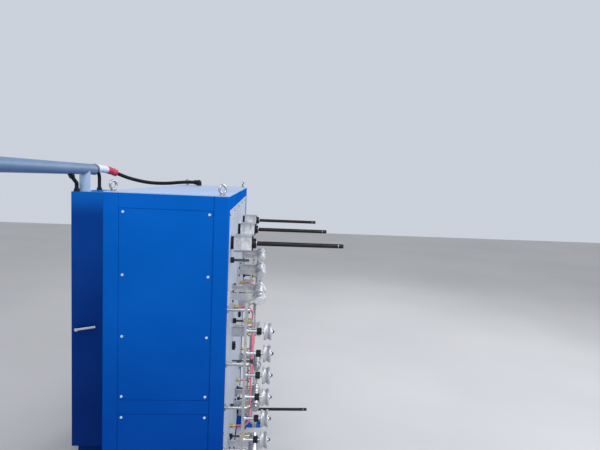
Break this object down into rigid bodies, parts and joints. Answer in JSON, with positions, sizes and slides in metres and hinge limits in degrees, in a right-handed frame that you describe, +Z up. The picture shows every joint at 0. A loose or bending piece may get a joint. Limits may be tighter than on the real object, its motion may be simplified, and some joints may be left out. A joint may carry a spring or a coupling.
{
  "type": "wire payoff machine",
  "caption": "Tall wire pay-off cabinet: reel spindles, dancer arms and guide wheels on a plate, with a control cabinet and an operator panel arm beside it.",
  "frame": {"origin": "on the floor, under the middle of the whole machine's box", "axes": "+Z up, +X from the working plate along the spindles, +Y from the front end to the rear end"},
  "size_m": [1.447, 1.8746, 1.6385],
  "materials": {
    "cabinet_blue": "satin paint",
    "control_blue": "satin paint",
    "cream_panel": "semi-gloss paint",
    "zinc_sheet": "zinc plated",
    "bright_steel": "ground",
    "aluminium": "turned",
    "chrome": "polished",
    "brass": "turned",
    "black_steel": "blackened",
    "black_plastic": "moulded",
    "wheel_plastic": "moulded",
    "hose": "translucent",
    "cable_rubber": "matt",
    "arm_paint": "satin paint",
    "panel_case": "satin paint"
  },
  "bodies": {
    "cabinet": {"frame_posts": "cabinet_blue", "long_rails": "cabinet_blue", "cross_rails": "cabinet_blue", "panel_lips": "cabinet_blue", "front_panels": "cabinet_blue", "rear_panels": "cabinet_blue", "left_panels": "cabinet_blue", "working_plate": "cream_panel", "top_plate": "cream_panel", "base_plate": "zinc_sheet", "eye_bolts": "bright_steel", "levelling_feet": "bright_steel", "stabilizer_feet": "cabinet_blue", "bearing_blocks": "aluminium", "black_collars": "black_plastic", "steel_shafts": "bright_steel", "brass_fittings": "brass", "air_hoses": "hose", "tension_brakes": "aluminium", "brake_brackets": "aluminium", "link_plates": "aluminium", "valve_blocks": "aluminium", "control_plinth": "control_blue", "control_sides": "control_blue", "control_ends": "control_blue", "control_back_wall": "control_blue", "mounting_plate": "zinc_sheet", "arm_post": "arm_paint", "arm_tube": "arm_paint", "panel_hanger": "arm_paint", "operator_panel": "panel_case", "cable_glands": "black_plastic", "link_cable": "cable_rubber", "drop_cables": "cable_rubber"},
    "control_door": {"control_door": "control_blue"},
    "door_handle": {"door_handle": "chrome"},
    "spindle_1": {"spindle_1": "black_steel"},
    "spindle_2": {"spindle_2": "black_steel"},
    "spindle_3": {"spindle_3": "black_steel"},
    "spindle_4": {"spindle_4": "black_steel"},
    "spindle_5": {"spindle_5": "black_steel"},
    "spindle_6": {"spindle_6": "black_steel"},
    "dancer_arm_1": {"dancer_arm_1": "aluminium"},
    "dancer_wheel_1": {"dancer_wheel_1": "wheel_plastic"},
    "dancer_arm_2": {"dancer_arm_2": "aluminium"},
    "dancer_wheel_2": {"dancer_wheel_2": "wheel_plastic"},
    "dancer_arm_3": {"dancer_arm_3": "aluminium"},
    "dancer_wheel_3": {"dancer_wheel_3": "wheel_plastic"},
    "dancer_arm_4": {"dancer_arm_4": "aluminium"},
    "dancer_wheel_4": {"dancer_wheel_4": "wheel_plastic"},
    "dancer_arm_5": {"dancer_arm_5": "aluminium"},
    "dancer_wheel_5": {"dancer_wheel_5": "wheel_plastic"},
    "dancer_arm_6": {"dancer_arm_6": "aluminium"},
    "dancer_wheel_6": {"dancer_wheel_6": "wheel_plastic"},
    "guide_wheel_1": {"guide_wheel_1": "wheel_plastic"},
    "guide_wheel_2": {"guide_wheel_2": "wheel_plastic"},
    "guide_wheel_3": {"guide_wheel_3": "wheel_plastic"},
    "guide_wheel_4": {"guide_wheel_4": "wheel_plastic"},
    "guide_wheel_5": {"guide_wheel_5": "wheel_plastic"},
    "guide_wheel_6": {"guide_wheel_6": "wheel_plastic"}
  },
  "joints": [
    {"name": "door_hinge", "type": "hinge", "parent": "cabinet", "child": "control_door", "pos_m": [-0.1435, 0.28525, 0.06], "axis": [0, 0, 1], "range_deg": [0, 82]},
    {"name": "lever_turn", "type": "hinge", "parent": "control_door", "child": "door_handle", "pos_m": [-0.5815, 0.28525, 0.74], "axis": [0, 1, 0], "range_deg": [0, 90]},
    {"name": "spindle_1_turn", "type": "hinge", "parent": "cabinet", "child": "spindle_1", "pos_m": [0.2835, -0.47775, 1.345], "axis": [1, 0, 0], "continuous": true},
    {"name": "spindle_2_turn", "type": "hinge", "parent": "cabinet", "child": "spindle_2", "pos_m": [0.2835, 0.03225, 1.345], "axis": [1, 0, 0], "continuous": true},
    {"name": "spindle_3_turn", "type": "hinge", "parent": "cabinet", "child": "spindle_3", "pos_m": [0.2835, 0.54225, 1.345], "axis": [1, 0, 0], "continuous": true},
    {"name": "spindle_4_turn", "type": "hinge", "parent": "cabinet", "child": "spindle_4", "pos_m": [0.2835, -0.47775, 0.152], "axis": [1, 0, 0], "continuous": true},
    {"name": "spindle_5_turn", "type": "hinge", "parent": "cabinet", "child": "spindle_5", "pos_m": [0.2835, 0.03225, 0.152], "axis": [1, 0, 0], "continuous": true},
    {"name": "spindle_6_turn", "type": "hinge", "parent": "cabinet", "child": "spindle_6", "pos_m": [0.2835, 0.54225, 0.152], "axis": [1, 0, 0], "continuous": true},
    {"name": "dancer_1_swing", "type": "hinge", "parent": "cabinet", "child": "dancer_arm_1", "pos_m": [0.2835, -0.18775, 1.09], "axis": [-1, 0, 0], "range_deg": [0, 35]},
    {"name": "dancer_1_wheel_spin", "type": "hinge", "parent": "dancer_arm_1", "child": "dancer_wheel_1", "pos_m": [0.2835, -0.29099, 0.94255], "axis": [1, 0, 0], "continuous": true},
    {"name": "dancer_2_swing", "type": "hinge", "parent": "cabinet", "child": "dancer_arm_2", "pos_m": [0.2835, 0.32225, 1.09], "axis": [-1, 0, 0], "range_deg": [0, 35]},
    {"name": "dancer_2_wheel_spin", "type": "hinge", "parent": "dancer_arm_2", "child": "dancer_wheel_2", "pos_m": [0.2835, 0.21901, 0.94255], "axis": [1, 0, 0], "continuous": true},
    {"name": "dancer_3_swing", "type": "hinge", "parent": "cabinet", "child": "dancer_arm_3", "pos_m": [0.2835, 0.83225, 1.09], "axis": [-1, 0, 0], "range_deg": [0, 35]},
    {"name": "dancer_3_wheel_spin", "type": "hinge", "parent": "dancer_arm_3", "child": "dancer_wheel_3", "pos_m": [0.2835, 0.72901, 0.94255], "axis": [1, 0, 0], "continuous": true},
    {"name": "dancer_4_swing", "type": "hinge", "parent": "cabinet", "child": "dancer_arm_4", "pos_m": [0.2835, -0.18775, 0.39], "axis": [-1, 0, 0], "range_deg": [0, 35]},
    {"name": "dancer_4_wheel_spin", "type": "hinge", "parent": "dancer_arm_4", "child": "dancer_wheel_4", "pos_m": [0.2835, -0.29099, 0.24255], "axis": [1, 0, 0], "continuous": true},
    {"name": "dancer_5_swing", "type": "hinge", "parent": "cabinet", "child": "dancer_arm_5", "pos_m": [0.2835, 0.32225, 0.39], "axis": [-1, 0, 0], "range_deg": [0, 35]},
    {"name": "dancer_5_wheel_spin", "type": "hinge", "parent": "dancer_arm_5", "child": "dancer_wheel_5", "pos_m": [0.2835, 0.21901, 0.24255], "axis": [1, 0, 0], "continuous": true},
    {"name": "dancer_6_swing", "type": "hinge", "parent": "cabinet", "child": "dancer_arm_6", "pos_m": [0.2835, 0.83225, 0.39], "axis": [-1, 0, 0], "range_deg": [0, 35]},
    {"name": "dancer_6_wheel_spin", "type": "hinge", "parent": "dancer_arm_6", "child": "dancer_wheel_6", "pos_m": [0.2835, 0.72901, 0.24255], "axis": [1, 0, 0], "continuous": true},
    {"name": "guide_1_spin", "type": "hinge", "parent": "cabinet", "child": "guide_wheel_1", "pos_m": [0.2835, -0.58775, 1.03], "axis": [1, 0, 0], "continuous": true},
    {"name": "guide_2_spin", "type": "hinge", "parent": "cabinet", "child": "guide_wheel_2", "pos_m": [0.2835, -0.58775, 0.945], "axis": [1, 0, 0], "continuous": true},
    {"name": "guide_3_spin", "type": "hinge", "parent": "cabinet", "child": "guide_wheel_3", "pos_m": [0.2835, -0.58775, 0.86], "axis": [1, 0, 0], "continuous": true},
    {"name": "guide_4_spin", "type": "hinge", "parent": "cabinet", "child": "guide_wheel_4", "pos_m": [0.2835, -0.58775, 0.775], "axis": [1, 0, 0], "continuous": true},
    {"name": "guide_5_spin", "type": "hinge", "parent": "cabinet", "child": "guide_wheel_5", "pos_m": [0.2835, -0.58775, 0.69], "axis": [1, 0, 0], "continuous": true},
    {"name": "guide_6_spin", "type": "hinge", "parent": "cabinet", "child": "guide_wheel_6", "pos_m": [0.2835, -0.58775, 0.605], "axis": [1, 0, 0], "continuous": true}
  ]
}
